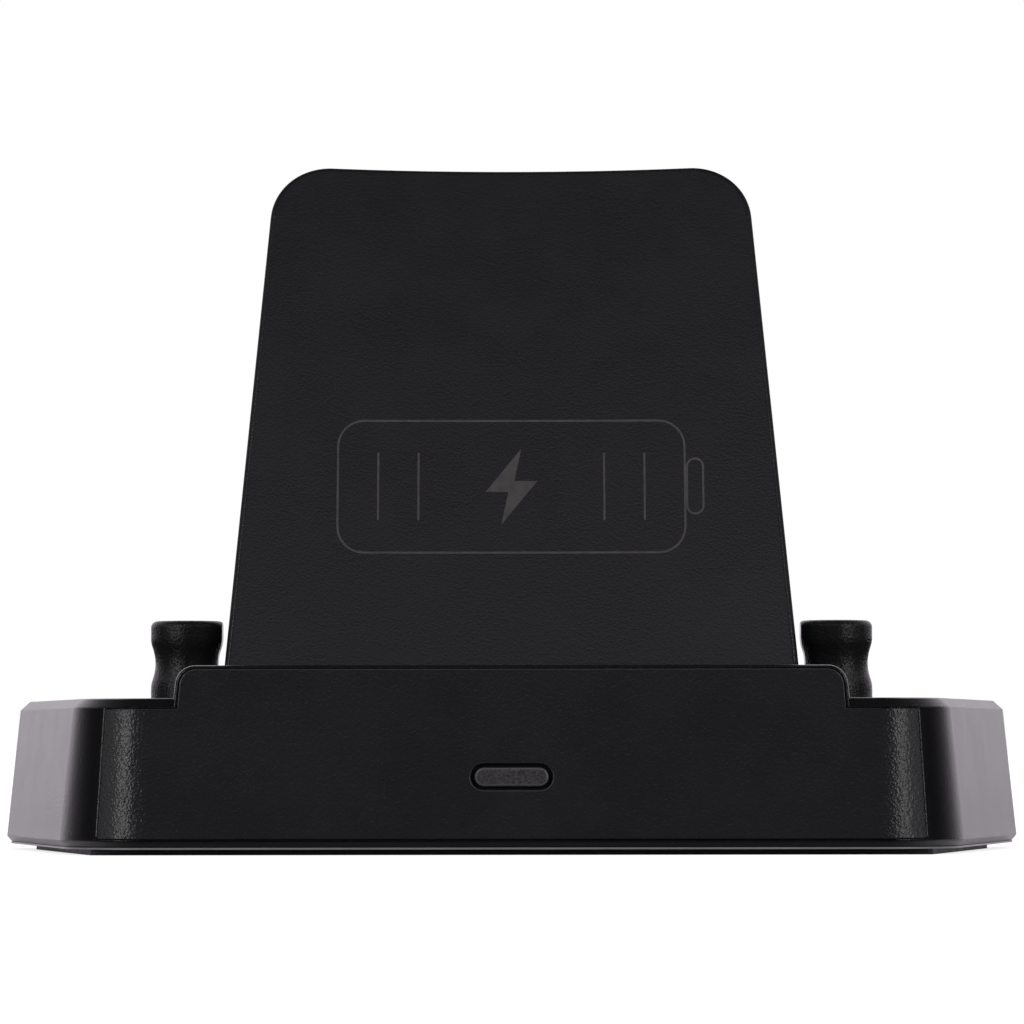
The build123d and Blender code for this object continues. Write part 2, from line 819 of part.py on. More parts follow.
def board_capacitors():
    """Two can capacitors, each with a crimp groove over its base."""
    x, y = capacitor_place
    radius = capacitor_diameter / 2
    crimp = capacitor_crimp_depth
    profile = make_face(Polyline(
        (0, 0),
        (radius, 0),
        (radius, capacitor_crimp_level - crimp),
        (radius - crimp, capacitor_crimp_level),
        (radius, capacitor_crimp_level + crimp),
        (radius, capacitor_height),
        (0, capacitor_height),
        close=True,
    ).edges())
    can = revolve(Plane.XZ * profile, Axis.Z)
    half = capacitor_spacing / 2
    return Compound(children=[Pos(x + side * half, y, board_top) * can for side in (-1, 1)])


def header_blank(shrink, low, front, rear):
    """Block of the wiring header's section, drawn in by a wall."""
    width = header_width - 2 * shrink
    height = header_height - 2 * shrink
    block = Box(width, rear - front, height, align=(Align.CENTER, Align.MIN, Align.MIN))
    return Pos(0, front, low) * block


def harness_header():
    """Side-entry header on the board, open to the front."""
    front = front_y + header_front
    body = header_blank(0, board_top, front, front + header_depth)
    rear = front + header_depth - header_wall
    return body - header_blank(header_wall, board_top + header_wall, front - header_depth, rear)


def harness_plug():
    """Plug of the wiring, pushed home in the header."""
    shrink = header_wall + slide_gap
    rear = front_y + header_front + header_depth - header_wall
    return header_blank(shrink, board_top + shrink, rear - harness_plug_length - wire_diameter, rear)


def plug_harness():
    """Wires from the header's plug, under the trough and up to the plug's board."""
    rear = front_y + header_front + header_depth - header_wall
    start = rear - harness_plug_length - wire_diameter
    level = board_top + header_height / 2
    foot = rest_frame.from_local_coords(Vector(0, plug_board_under, plug_setback))
    bend_y = foot.Y - (foot.Z - level) * lean_sine / lean_cosine
    wires = []
    for number in range(wire_count):
        x = (number - (wire_count - 1) / 2) * wire_pitch
        path = FilletPolyline((x, start, level), (x, bend_y, level), (x, foot.Y, foot.Z), radius=wire_bend)
        section = Plane(origin=path @ 0, z_dir=path % 0) * Circle(wire_diameter / 2)
        wires.append(sweep(section, path=path))
    return Compound(children=wires)


def screws_at(places, level, length):
    """Group of upright screws with their heads seated at a level."""
    return Compound(children=[Pos(x, y, level) * screw(length) for x, y in places])


def carrier_screws():
    """Screws up the slope through the carrier's flange."""
    half = carrier_screw_spacing / 2
    places = [rest_plane(x, carrier_under, plug_setback).location for x in (-half, half)]
    return Compound(children=[place * screw(carrier_thickness + carrier_screw_grip) for place in places])


def back_rest_screws():
    """Screws from behind through the tongue into the pads under the deck."""
    length = tongue_thickness + rest_screw_grip
    return Compound(children=[place * screw(length) for place in rest_screw_places()])


nodes = {
    "base_housing": base_housing(),
    "front_fascia": front_fascia(),
    "indicator_lens": indicator_lens(),
    "bottom_cover": bottom_cover(),
    "anti_slip_mat": anti_slip_mat(),
    "housing_screws": screws_at(cover_screw_places(), cover_top, cover_screw_length),
    "back_rest": back_rest(),
    "back_rest_cover": back_rest_cover(),
    "back_rest_screws": back_rest_screws(),
    "left_post": post(-1),
    "right_post": post(1),
    "post_screws": screws_at(post_places(), roof_level, post_screw_length),
    "left_cradle_pad": cradle_pad(-1),
    "right_cradle_pad": cradle_pad(1),
    "plug_carrier": plug_carrier(),
    "plug_shell": plug_shell(),
    "plug_core": plug_core(),
    "plug_board": plug_board(),
    "carrier_screws": carrier_screws(),
    "main_board": main_board(),
    "board_screws": screws_at(board_screw_places(), board_level, board_screw_length),
    "power_socket_shell": power_socket_shell(),
    "power_socket_tongue": power_socket_tongue(),
    "indicator_led": indicator_led(),
    "controller_chip": controller_chip(),
    "power_inductor": power_inductor(),
    "board_capacitors": board_capacitors(),
    "harness_header": harness_header(),
    "harness_plug": harness_plug(),
    "plug_harness": plug_harness(),
}

os.makedirs("parts", exist_ok=True)
for name, shape in nodes.items():
    export_step(shape, f"parts/{name}.step")
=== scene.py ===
from math import cos, pi, radians, sin

import bmesh
import bpy
from mathutils import Matrix, Vector
from mathutils.bvhtree import BVHTree


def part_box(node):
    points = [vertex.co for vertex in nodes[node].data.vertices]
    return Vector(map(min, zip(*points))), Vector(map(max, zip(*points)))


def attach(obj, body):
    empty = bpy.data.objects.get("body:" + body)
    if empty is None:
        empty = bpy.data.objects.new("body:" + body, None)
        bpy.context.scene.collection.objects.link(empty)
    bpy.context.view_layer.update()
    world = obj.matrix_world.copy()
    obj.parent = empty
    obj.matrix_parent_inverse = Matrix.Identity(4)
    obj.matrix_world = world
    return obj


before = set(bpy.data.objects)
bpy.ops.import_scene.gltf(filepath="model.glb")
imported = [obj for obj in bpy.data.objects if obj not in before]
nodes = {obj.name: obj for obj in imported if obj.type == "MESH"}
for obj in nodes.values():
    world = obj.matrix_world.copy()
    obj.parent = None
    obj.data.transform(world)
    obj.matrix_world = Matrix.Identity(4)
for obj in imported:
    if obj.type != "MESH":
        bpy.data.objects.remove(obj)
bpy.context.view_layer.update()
mm = 0.001
print("frame loaded:", len(nodes), "solids")


# small helpers for node trees
def addNode(tree, kind, **settings):
    node = tree.nodes.new(kind)
    for name, value in settings.items():
        setattr(node, name, value)
    return node


def addMath(tree, operation, first, second):
    node = addNode(tree, "ShaderNodeMath", operation=operation)
    for socket, value in zip(node.inputs, (first, second)):
        if isinstance(value, (int, float)):
            socket.default_value = value
        else:
            tree.links.new(value, socket)
    return node.outputs[0]


def mapValue(tree, source, low, high, start, end, kind="SMOOTHSTEP"):
    node = addNode(tree, "ShaderNodeMapRange", interpolation_type=kind)
    for name, value in zip(("From Min", "From Max", "To Min", "To Max"), (low, high, start, end)):
        node.inputs[name].default_value = value
    tree.links.new(source, node.inputs["Value"])
    return node.outputs["Result"]


def mixValue(tree, factor, first, second):
    node = addNode(tree, "ShaderNodeMix", data_type="FLOAT")
    for name, value in (("A", first), ("B", second)):
        if isinstance(value, (int, float)):
            node.inputs[name].default_value = value
        else:
            tree.links.new(value, node.inputs[name])
    tree.links.new(factor, node.inputs["Factor"])
    return node.outputs["Result"]


def mixColour(tree, factor, first, second):
    node = addNode(tree, "ShaderNodeMix", data_type="RGBA")
    sockets = [socket for socket in node.inputs if socket.type == "RGBA"]
    for socket, value in zip(sockets, (first, second)):
        if isinstance(value, tuple):
            socket.default_value = (*value, 1)
        else:
            tree.links.new(value, socket)
    tree.links.new(factor, node.inputs["Factor"])
    return [socket for socket in node.outputs if socket.type == "RGBA"][0]


def newGroup(name, kind, inputs, outputs):
    tree = bpy.data.node_groups.new(name, kind)
    for side, sockets in (("INPUT", inputs), ("OUTPUT", outputs)):
        for socketName, socketType in sockets.items():
            tree.interface.new_socket(name=socketName, in_out=side, socket_type=socketType)
    return tree, addNode(tree, "NodeGroupInput"), addNode(tree, "NodeGroupOutput")


# spark-eroded grain of the mould: uneven domes, pushed about so that no rows show
grainLook = {
    "driftScale": 0.6,    # the drift that pushes the domes, against their own scale
    "driftDetail": 1.0,
    "push": 1.4,          # in cells
    "smoothness": 0.5,
    "fineScale": 2.2,     # the fine noise on the domes
    "fineDetail": 2.0,
    "fineShare": 0.45,
    "base": 0.8,          # keeps heights above zero
    "flat": 0.5,          # height of a smooth part
}


def makeMouldGrain(look):
    inputs = {"Vector": "NodeSocketVector", "Cell": "NodeSocketFloat"}
    tree, start, end = newGroup("mouldGrain", "ShaderNodeTree", inputs, {"Height": "NodeSocketFloat"})
    scale = addMath(tree, "DIVIDE", 1.0, start.outputs["Cell"])
    drift = addNode(tree, "ShaderNodeTexNoise")
    drift.inputs["Detail"].default_value = look["driftDetail"]
    tree.links.new(start.outputs["Vector"], drift.inputs["Vector"])
    tree.links.new(addMath(tree, "MULTIPLY", scale, look["driftScale"]), drift.inputs["Scale"])
    centred = addNode(tree, "ShaderNodeVectorMath", operation="SUBTRACT")
    centred.inputs[1].default_value = (0.5, 0.5, 0.5)    # noise runs from 0 to 1
    tree.links.new(drift.outputs["Color"], centred.inputs[0])
    push = addNode(tree, "ShaderNodeVectorMath", operation="SCALE")
    tree.links.new(centred.outputs[0], push.inputs[0])
    tree.links.new(addMath(tree, "MULTIPLY", start.outputs["Cell"], look["push"]), push.inputs["Scale"])
    moved = addNode(tree, "ShaderNodeVectorMath", operation="ADD")
    tree.links.new(start.outputs["Vector"], moved.inputs[0])
    tree.links.new(push.outputs[0], moved.inputs[1])
    domes = addNode(tree, "ShaderNodeTexVoronoi", feature="SMOOTH_F1")
    domes.inputs["Smoothness"].default_value = look["smoothness"]
    tree.links.new(moved.outputs[0], domes.inputs["Vector"])
    tree.links.new(scale, domes.inputs["Scale"])
    fine = addNode(tree, "ShaderNodeTexNoise")
    fine.inputs["Detail"].default_value = look["fineDetail"]
    tree.links.new(start.outputs["Vector"], fine.inputs["Vector"])
    tree.links.new(addMath(tree, "MULTIPLY", scale, look["fineScale"]), fine.inputs["Scale"])
    fineHeight = addMath(tree, "MULTIPLY", fine.outputs[0], look["fineShare"])
    height = addMath(tree, "SUBTRACT", fineHeight, domes.outputs["Distance"])
    tree.links.new(addMath(tree, "ADD", height, look["base"]), end.inputs["Height"])
    return tree


# slow change of tone over a moulding
toneLook = {"detail": 4.0, "roughness": 0.6, "range": (0.3, 0.7)}


def makeFlowTone(look):
    inputs = {"Vector": "NodeSocketVector", "Size": "NodeSocketFloat"}
    tree, start, end = newGroup("flowTone", "ShaderNodeTree", inputs, {"Tone": "NodeSocketFloat"})
    cloud = addNode(tree, "ShaderNodeTexNoise")
    cloud.inputs["Detail"].default_value = look["detail"]
    cloud.inputs["Roughness"].default_value = look["roughness"]
    tree.links.new(start.outputs["Vector"], cloud.inputs["Vector"])
    tree.links.new(addMath(tree, "DIVIDE", 1.0, start.outputs["Size"]), cloud.inputs["Scale"])
    tree.links.new(mapValue(tree, cloud.outputs[0], *look["range"], 0.0, 1.0), end.inputs["Tone"])
    return tree


# distance from the edge of the indicator's round-ended outline, below zero inside it
def makePillEdge():
    inputs = {"Vector": "NodeSocketVector", "Level": "NodeSocketFloat",
              "Half Length": "NodeSocketFloat", "Radius": "NodeSocketFloat"}
    tree, start, end = newGroup("pillEdge", "ShaderNodeTree", inputs, {"Distance": "NodeSocketFloat"})
    place = addNode(tree, "ShaderNodeSeparateXYZ")
    tree.links.new(start.outputs["Vector"], place.inputs[0])
    beside = addMath(tree, "ABSOLUTE", place.outputs["X"], 0.0)
    beside = addMath(tree, "MAXIMUM", addMath(tree, "SUBTRACT", beside, start.outputs["Half Length"]), 0.0)
    above = addMath(tree, "SUBTRACT", place.outputs["Z"], start.outputs["Level"])
    squares = [addMath(tree, "MULTIPLY", length, length) for length in (beside, above)]
    straight = addMath(tree, "SQRT", addMath(tree, "ADD", *squares), 0.0)
    away = addMath(tree, "SUBTRACT", straight, start.outputs["Radius"])
    tree.links.new(away, end.inputs["Distance"])
    return tree


mouldGrain = makeMouldGrain(grainLook)
flowTone = makeFlowTone(toneLook)
pillEdge = makePillEdge()
print("shader groups made")

# one entry for each finish: colours are linear, cell and relief of the grain and size of the tone are in mm;
# the pill zone and the painted highlight round the groove go by distance from the indicator's outline in mm,
# the facing zone and the painted edge highlights by the cosine of a turn
glossIor = 1.5
finishes = {
    "satinHousing": {"dark": (0.0031, 0.0029, 0.0032), "light": (0.0038, 0.0036, 0.0040),
                     "rough": (0.230, 0.245), "cell": 0.36, "relief": 0.026, "tone": 9.0,
                     # the lip ends and the deck's outer edges are painted light grey: a painted highlight of
                     # the white surroundings reflected beside the back rest
                     "paintedEdgeHighlight": {"front": (0.68, 0.60), "top": (0.12, 0.24), "levels": (24.2, 24.3),
                               "beside": (43.5, 46.5), "colour": (0.24, 0.24, 0.245)}},
    "grainedFascia": {"dark": (0.0128, 0.0128, 0.0142), "light": (0.0143, 0.0143, 0.0158),
                      "rough": (0.19, 0.22), "cell": 0.44, "relief": 0.042, "tone": 11.0,
                      # the groove round the indicator is painted near-black as painted shade in the recess,
                      # and is rougher
                      "pill": {"near": 0.70, "far": 0.62, "colour": (0.0015, 0.0015, 0.0016), "rough": 0.85},
                      # the edge round the groove is painted lighter: a painted highlight
                      "grooveRimHighlight": {"near": 0.66, "far": 0.84, "colour": (0.070, 0.070, 0.073)},
                      # the fascia's top edge is painted lighter: a painted highlight
                      "paintedEdgeHighlight": {"front": (0.97, 0.80), "levels": (23.0, 23.6),
                                "colour": (0.050, 0.050, 0.052)}},
    "grainedRest": {"dark": (0.0113, 0.0113, 0.0124), "light": (0.0128, 0.0128, 0.0139),
                    "rough": (0.18, 0.21), "cell": 0.36, "relief": 0.015, "tone": 11.0,
                    # the rim of the back rest, turned from its face, is smooth and painted near-black: a
                    # painted dark reflection
                    "facing": {"axis": (0.0, -0.951, 0.309), "near": 0.965, "far": 0.925,
                               "colour": (0.0012, 0.0012, 0.0013), "rough": 0.5}},
    "grainedPost": {"dark": (0.0074, 0.0072, 0.0075), "light": (0.0090, 0.0088, 0.0091),
                    "rough": (0.29, 0.33), "cell": 0.40, "relief": 0.070, "tone": 3.0,
                    "facing": {"axis": (1.0, 0.0, 0.0), "near": 0.955, "far": 0.985,
                               "colour": (0.0054, 0.0053, 0.0056), "rough": 0.2}},
    "smokyLens": {"dark": (0.023, 0.0225, 0.0247), "light": (0.047, 0.0465, 0.0495),
                  "rough": (0.24, 0.30), "cell": 0.34, "relief": 0.064, "tone": 0.5,
                  # the lens's rim is painted lighter: a painted highlight
                  "pill": {"near": -0.46, "far": -0.16, "colour": (0.078, 0.077, 0.081), "rough": 0.3}},
    # the bottom cover is painted light grey so that its edge shows a bright line: a painted highlight
    "coverGreyPaintedHighlight": {"dark": (0.185, 0.181, 0.187), "light": (0.215, 0.211, 0.217),
                  "rough": (0.28, 0.34), "cell": 0.30, "relief": 0.002, "tone": 8.0},
    "matRubber": {"dark": (0.0014, 0.0014, 0.0015), "light": (0.0026, 0.0026, 0.0027),
                  "rough": (0.46, 0.54), "cell": 0.40, "relief": 0.008, "tone": 5.0},
    "insertPlastic": {"dark": (0.0085, 0.0085, 0.0087), "light": (0.0125, 0.0125, 0.0128),
                      "rough": (0.40, 0.50), "cell": 0.20, "relief": 0.006, "tone": 2.0},
    "boardMask": {"dark": (0.008, 0.062, 0.028), "light": (0.016, 0.105, 0.050),
                  "rough": (0.26, 0.34), "cell": 0.50, "relief": 0.010, "tone": 3.0},
    "lampResin": {"dark": (0.72, 0.70, 0.60), "light": (0.82, 0.80, 0.70),
                  "rough": (0.24, 0.32), "cell": 0.20, "relief": 0.004, "tone": 0.8},
    "chipResin": {"dark": (0.012, 0.012, 0.0125), "light": (0.020, 0.020, 0.021),
                  "rough": (0.52, 0.62), "cell": 0.12, "relief": 0.008, "tone": 1.5},
    "ferriteBody": {"dark": (0.045, 0.045, 0.047), "light": (0.075, 0.075, 0.078),
                    "rough": (0.60, 0.72), "cell": 0.15, "relief": 0.010, "tone": 1.0},
    "nylonBody": {"dark": (0.62, 0.60, 0.53), "light": (0.74, 0.72, 0.66),
                  "rough": (0.34, 0.42), "cell": 0.25, "relief": 0.006, "tone": 2.5},
    "wireJacket": {"dark": (0.34, 0.012, 0.010), "light": (0.46, 0.022, 0.018),
                   "rough": (0.40, 0.48), "cell": 0.30, "relief": 0.006, "tone": 1.5},
    "signGrey": {"dark": (0.044, 0.0415, 0.0380), "light": (0.060, 0.0570, 0.0530),
                 "rough": (0.52, 0.62), "cell": 0.20, "relief": 0.008, "tone": 1.6},
    "screwZinc": {"dark": (0.42, 0.42, 0.44), "light": (0.56, 0.56, 0.57),
                  "rough": (0.28, 0.38), "metal": 1.0, "cell": 0.16, "relief": 0.004, "tone": 0.9},
    "platedShell": {"dark": (0.56, 0.55, 0.53), "light": (0.68, 0.67, 0.65),
                    "rough": (0.18, 0.27), "metal": 1.0, "cell": 0.14, "relief": 0.003, "tone": 1.4},
    "canAluminium": {"dark": (0.60, 0.60, 0.61), "light": (0.72, 0.72, 0.73),
                     "rough": (0.26, 0.36), "metal": 1.0, "cell": 0.14, "relief": 0.004, "tone": 1.2},
    "contactGold": {"dark": (0.78, 0.52, 0.17), "light": (0.90, 0.64, 0.25),
                    "rough": (0.16, 0.25), "metal": 1.0, "cell": 0.12, "relief": 0.002, "tone": 0.6},
}
pillLook = {"level": 12.15, "length": 11.5, "height": 2.9}    # the indicator on the fascia, mm


def pillDistance(tree, place):
    edge = addNode(tree, "ShaderNodeGroup", node_tree=pillEdge)
    edge.inputs["Level"].default_value = pillLook["level"] * mm
    edge.inputs["Half Length"].default_value = (pillLook["length"] - pillLook["height"]) / 2 * mm
    edge.inputs["Radius"].default_value = pillLook["height"] / 2 * mm
    tree.links.new(place, edge.inputs["Vector"])
    return edge.outputs["Distance"]


# the part of a surface that differs: along the indicator's outline, or turned to or from a direction; its
# colour paints shade into the fascia's groove and onto the back rest's rim, and a highlight onto the lens rim
def zoneMask(tree, coordinates, look):
    if "pill" in look:
        zone = look["pill"]
        away = pillDistance(tree, coordinates.outputs["Object"])
        return zone, mapValue(tree, away, zone["near"] * mm, zone["far"] * mm, 0.0, 1.0)
    zone = look["facing"]
    turned = addNode(tree, "ShaderNodeVectorMath", operation="DOT_PRODUCT")
    turned.inputs[1].default_value = zone["axis"]
    tree.links.new(coordinates.outputs["Normal"], turned.inputs[0])
    turn = addMath(tree, "ABSOLUTE", turned.outputs["Value"], 0.0)
    return zone, mapValue(tree, turn, zone["near"], zone["far"], 0.0, 1.0)


# a raised edge painted lighter as a painted highlight: where the surface has turned from the front, but not
# yet to the top; levels and beside in mm
def crestMask(tree, coordinates, paintedEdgeHighlight):
    direction = addNode(tree, "ShaderNodeSeparateXYZ")
    tree.links.new(coordinates.outputs["Normal"], direction.inputs[0])
    spot = addNode(tree, "ShaderNodeSeparateXYZ")
    tree.links.new(coordinates.outputs["Object"], spot.inputs[0])
    forward = addMath(tree, "MULTIPLY", direction.outputs["Y"], -1.0)
    masks = [mapValue(tree, forward, *paintedEdgeHighlight["front"], 0.0, 1.0),
             mapValue(tree, spot.outputs["Z"], *(level * mm for level in paintedEdgeHighlight["levels"]), 0.0, 1.0)]
    if "top" in paintedEdgeHighlight:
        masks.append(mapValue(tree, forward, *paintedEdgeHighlight["top"], 0.0, 1.0))
    if "beside" in paintedEdgeHighlight:
        aside = addMath(tree, "ABSOLUTE", spot.outputs["X"], 0.0)
        masks.append(mapValue(tree, aside, *(width * mm for width in paintedEdgeHighlight["beside"]), 0.0, 1.0))
    mask = masks[0]
    for other in masks[1:]:
        mask = addMath(tree, "MULTIPLY", mask, other)
    return mask


def makeFinish(name, look):
    material = bpy.data.materials.new(name)
    material.use_nodes = True
    tree = material.node_tree
    shader = tree.nodes["Principled BSDF"]
    shader.inputs["Metallic"].default_value = look.get("metal", 0.0)
    shader.inputs["IOR"].default_value = glossIor
    coordinates = addNode(tree, "ShaderNodeTexCoord")
    place = coordinates.outputs["Object"]
    grain = addNode(tree, "ShaderNodeGroup", node_tree=mouldGrain)
    grain.inputs["Cell"].default_value = look["cell"] * mm
    tree.links.new(place, grain.inputs["Vector"])
    bump = addNode(tree, "ShaderNodeBump")
    bump.inputs["Distance"].default_value = look["relief"] * mm
    tree.links.new(bump.outputs["Normal"], shader.inputs["Normal"])
    flow = addNode(tree, "ShaderNodeGroup", node_tree=flowTone)
    flow.inputs["Size"].default_value = look["tone"] * mm
    tree.links.new(place, flow.inputs["Vector"])
    tone = flow.outputs["Tone"]
    colour = mixColour(tree, tone, look["dark"], look["light"])
    rough = mapValue(tree, tone, 0.0, 1.0, *look["rough"])
    height = grain.outputs["Height"]
    if "grooveRimHighlight" in look:    # painted highlight on the edge round the indicator's groove
        grooveRimHighlight = look["grooveRimHighlight"]
        grooveRimMask = mapValue(tree, pillDistance(tree, place), grooveRimHighlight["far"] * mm, grooveRimHighlight["near"] * mm, 0.0, 1.0)
        colour = mixColour(tree, grooveRimMask, colour, grooveRimHighlight["colour"])
    if "paintedEdgeHighlight" in look:    # painted highlight on the upper edges of the lip and the deck, and on the fascia's top edge
        colour = mixColour(tree, crestMask(tree, coordinates, look["paintedEdgeHighlight"]), colour, look["paintedEdgeHighlight"]["colour"])
    # zone colours: painted shade in the groove and on the back rest's rim, a painted highlight on the lens
    # rim; the posts' flat is a smooth part
    if "pill" in look or "facing" in look:
        zone, mask = zoneMask(tree, coordinates, look)
        colour = mixColour(tree, mask, colour, zone["colour"])
        rough = mixValue(tree, mask, rough, zone["rough"])
        if "facing" in look:    # the grain stops at the smooth part
            height = mixValue(tree, mask, height, grainLook["flat"])
    tree.links.new(colour, shader.inputs["Base Color"])
    tree.links.new(rough, shader.inputs["Roughness"])
    tree.links.new(height, bump.inputs["Height"])
    return material


materials = {name: makeFinish(name, look) for name, look in finishes.items()}

# which finish each solid wears
solidFinish = {
    "satinHousing": ["base_housing", "back_rest_cover"],
    "grainedFascia": ["front_fascia"],
    "grainedRest": ["back_rest"],
    "grainedPost": ["left_post", "right_post"],
    "smokyLens": ["indicator_lens"],
    "coverGreyPaintedHighlight": ["bottom_cover"],
    "matRubber": ["anti_slip_mat", "left_cradle_pad", "right_cradle_pad"],
    "insertPlastic": ["plug_carrier", "plug_core", "power_socket_tongue"],
    "boardMask": ["plug_board", "main_board"],
    "lampResin": ["indicator_led"],
    "chipResin": ["controller_chip"],
    "ferriteBody": ["power_inductor"],
    "nylonBody": ["harness_header", "harness_plug"],
    "wireJacket": ["plug_harness"],
    "screwZinc": ["housing_screws", "back_rest_screws", "post_screws", "carrier_screws", "board_screws"],
    "platedShell": ["plug_shell", "power_socket_shell"],
    "canAluminium": ["board_capacitors"],
}
for finish, solids in solidFinish.items():
    for solid in solids:
        mesh = nodes[solid].data
        mesh.materials.clear()
        mesh.materials.append(materials[finish])
print("finishes set on", sum(len(solids) for solids in solidFinish.values()), "solids")


# helpers for pieces
farOff = 1.0    # metres, clear of the dock on every side


def newPiece(name, mesh):
    piece = bpy.data.objects.new(name, mesh)
    bpy.context.scene.collection.objects.link(piece)
    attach(piece, "root")
    return piece


def surfaceOf(node):
    mesh = nodes[node].data
    corners = [vertex.co.copy() for vertex in mesh.vertices]
    return BVHTree.FromPolygons(corners, [list(face.vertices) for face in mesh.polygons])


def frontPoint(surface, x, z):    # where a level line of sight from the front meets a surface
    spot, normal, _, _ = surface.ray_cast(Vector((x, -farOff, z)), Vector((0, 1, 0)))
    return spot, normal


def runNodes(name, tree, values, mesh=None):    # a tree's result as a plain mesh
    carrier = bpy.data.objects.new(name, mesh or bpy.data.meshes.new(name))
    bpy.context.scene.collection.objects.link(carrier)
    modifier = carrier.modifiers.new(name, "NODES")
    modifier.node_group = tree
    for socket in tree.interface.items_tree:
        if socket.in_out == "INPUT" and socket.name in values:
            modifier[socket.identifier] = values[socket.name]
    evaluated = carrier.evaluated_get(bpy.context.evaluated_depsgraph_get())
    result = bpy.data.meshes.new_from_object(evaluated)
    carrier.modifiers.remove(modifier)
    bpy.data.objects.remove(carrier)
    result.name = name
    return result


# charge sign on the back rest: a battery outline with its cap, level marks and a bolt, x and z in mm
signLook = {
    "middle": (0.0, 58.8),
    "body": (56.0, 21.6),
    "bodyRadius": 4.2,
    "cornerSteps": 6,
    "cap": (2.6, 9.0),
    "capRadius": 1.3,
    "stroke": 0.34,
    "marks": (-21.5, -15.0, 15.0, 21.5),
    "markHeight": 11.0,
    "bolt": ((1.6, 6.2), (-4.2, -0.9), (-0.5, -0.9), (-1.6, -6.2), (4.2, 0.9), (0.5, 0.9)),
    "step": 1.0,
    "lift": 0.022,
    "sink": 0.05,
}


def roundedLoop(width, height, radius, steps, centre=(0.0, 0.0)):
    points = []
    for turn, (signX, signZ) in enumerate(((1, 1), (-1, 1), (-1, -1), (1, -1))):
        middle = Vector((signX * (width / 2 - radius), signZ * (height / 2 - radius)))
        for part in range(steps + 1):
            angle = pi / 2 * (turn + part / steps)
            points.append(middle + radius * Vector((cos(angle), sin(angle))) + Vector(centre))
    return points


def finerLine(points, step, closed):
    ends = points[1:] + points[:1] if closed else points[1:]
    line = []
    for start, end in zip(points, ends):
        count = max(1, round((end - start).length / step))
        line += [start.lerp(end, part / count) for part in range(count)]
    return line if closed else line + [points[-1]]


def addRibbon(shape, toPlate, points, look, closed):
    line = finerLine(points, look["step"], closed)
    rows = []
    for number, point in enumerate(line):
        before = line[number - 1] if closed or number else point
        after = line[(number + 1) % len(line)] if closed or number + 1 < len(line) else point
        across = (after - before).normalized().orthogonal() * look["stroke"] / 2
        rims = [toPlate(point + across * side, lift) for side, lift in
                ((1, look["lift"]), (-1, look["lift"]), (-1, -look["sink"]), (1, -look["sink"]))]
        rows.append([shape.verts.new(rim) for rim in rims])
    following = rows[1:] + rows[:1] if closed else rows[1:]
    for row, nextRow in zip(rows, following):
        for side in range(len(row)):
            nextSide = (side + 1) % len(row)
            shape.faces.new((row[side], row[nextSide], nextRow[nextSide], nextRow[side]))
    if not closed:
        shape.faces.new(rows[0])
        shape.faces.new(rows[-1])


def addPatch(shape, toPlate, points, look):
    outline = finerLine(points, look["step"], True)
    top = [shape.verts.new((point.x, point.y, 0)) for point in outline]
    face = shape.faces.new(top)
    fill = bmesh.ops.triangulate(shape, faces=[face])["faces"]
    lower = {vertex: shape.verts.new(toPlate(vertex.co.xy, -look["sink"])) for vertex in top}
    for number, vertex in enumerate(top):
        following = top[(number + 1) % len(top)]
        shape.faces.new((vertex, following, lower[following], lower[vertex]))
    for face in fill:
        shape.faces.new([lower[vertex] for vertex in reversed(face.verts)])
    for vertex in top:
        vertex.co = toPlate(vertex.co.xy, look["lift"])


def buildChargeSign(look):
    plate = surfaceOf("back_rest")
    middle = Vector(look["middle"])

    def toPlate(point, lift):
        spot, normal = frontPoint(plate, (middle.x + point.x) * mm, (middle.y + point.y) * mm)
        return spot + normal * lift * mm

    shape = bmesh.new()
    width, height = look["body"]
    steps = look["cornerSteps"]
    addRibbon(shape, toPlate, roundedLoop(width, height, look["bodyRadius"], steps), look, True)
    capWidth, capHeight = look["cap"]
    capMiddle = ((width + capWidth) / 2 + look["stroke"], 0.0)
    capLoop = roundedLoop(capWidth, capHeight, look["capRadius"], steps, capMiddle)
    addRibbon(shape, toPlate, capLoop, look, True)
    for mark in look["marks"]:
        half = look["markHeight"] / 2
        addRibbon(shape, toPlate, [Vector((mark, -half)), Vector((mark, half))], look, False)
    addPatch(shape, toPlate, [Vector(point) for point in look["bolt"]], look)
    bmesh.ops.recalc_face_normals(shape, faces=shape.faces)
    mesh = bpy.data.meshes.new("charge_sign")
    shape.to_mesh(mesh)
    shape.free()
    mesh.materials.append(materials["signGrey"])
    return newPiece("charge_sign", mesh)


buildChargeSign(signLook)
print("charge sign made")

# parting ridge down the front and back of each post, sizes in mm
ridgeLook = {"radius": 0.085, "sink": 0.05, "foot": 0.1, "top": 1.3, "beside": 1.0, "steps": 36, "sides": 10}


